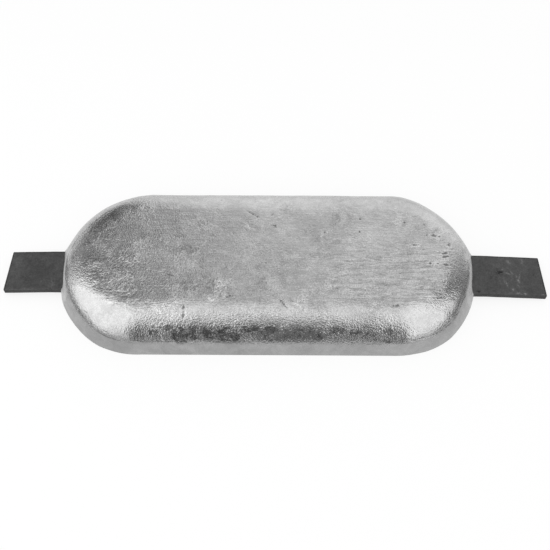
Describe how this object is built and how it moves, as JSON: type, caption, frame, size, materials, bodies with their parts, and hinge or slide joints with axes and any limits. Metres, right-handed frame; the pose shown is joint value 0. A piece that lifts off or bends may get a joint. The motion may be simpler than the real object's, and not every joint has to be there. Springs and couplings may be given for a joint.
{
  "type": "sacrificial anode",
  "caption": "Weld-on hull anode: a long rounded zinc casting poured round a flat steel strap whose bare tabs are welded to the hull.",
  "frame": {"origin": "middle of the casting's flat back face, which lies against the hull", "axes": "+X along the strap towards its longer tab, +Y across the casting, +Z away from the hull, out of the casting's top"},
  "size_m": [0.4256, 0.145, 0.028],
  "materials": {
    "zinc": "as-cast zinc, dull grey with a satin shoulder",
    "strap_steel": "dark mill scale on hot-rolled mild steel"
  },
  "bodies": {
    "root": {"zinc_casting": "zinc", "steel_strap": "strap_steel"}
  },
  "joints": []
}
